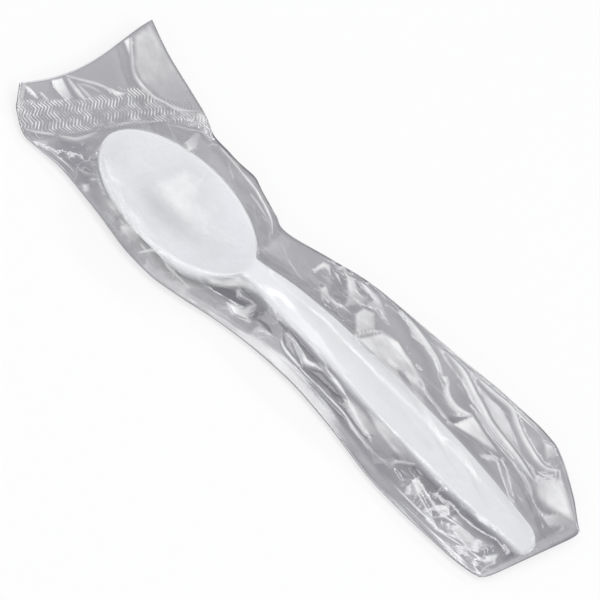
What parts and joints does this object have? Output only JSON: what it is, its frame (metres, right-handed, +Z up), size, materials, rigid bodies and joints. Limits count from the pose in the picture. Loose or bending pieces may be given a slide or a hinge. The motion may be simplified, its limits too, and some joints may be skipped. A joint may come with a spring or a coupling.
{
  "type": "wrapped teaspoon",
  "caption": "White plastic teaspoon sealed in a crumpled clear film sleeve.",
  "frame": {"origin": "middle of the underside's outline, on the surface it rests on", "axes": "+X from the bowl to the end of the handle, +Z up"},
  "size_m": [0.1838, 0.0582, 0.0124],
  "materials": {
    "spoon_plastic": "satin",
    "clear_film": "gloss"
  },
  "bodies": {
    "root": {"spoon": "spoon_plastic", "film_wrapper": "clear_film"}
  },
  "joints": []
}
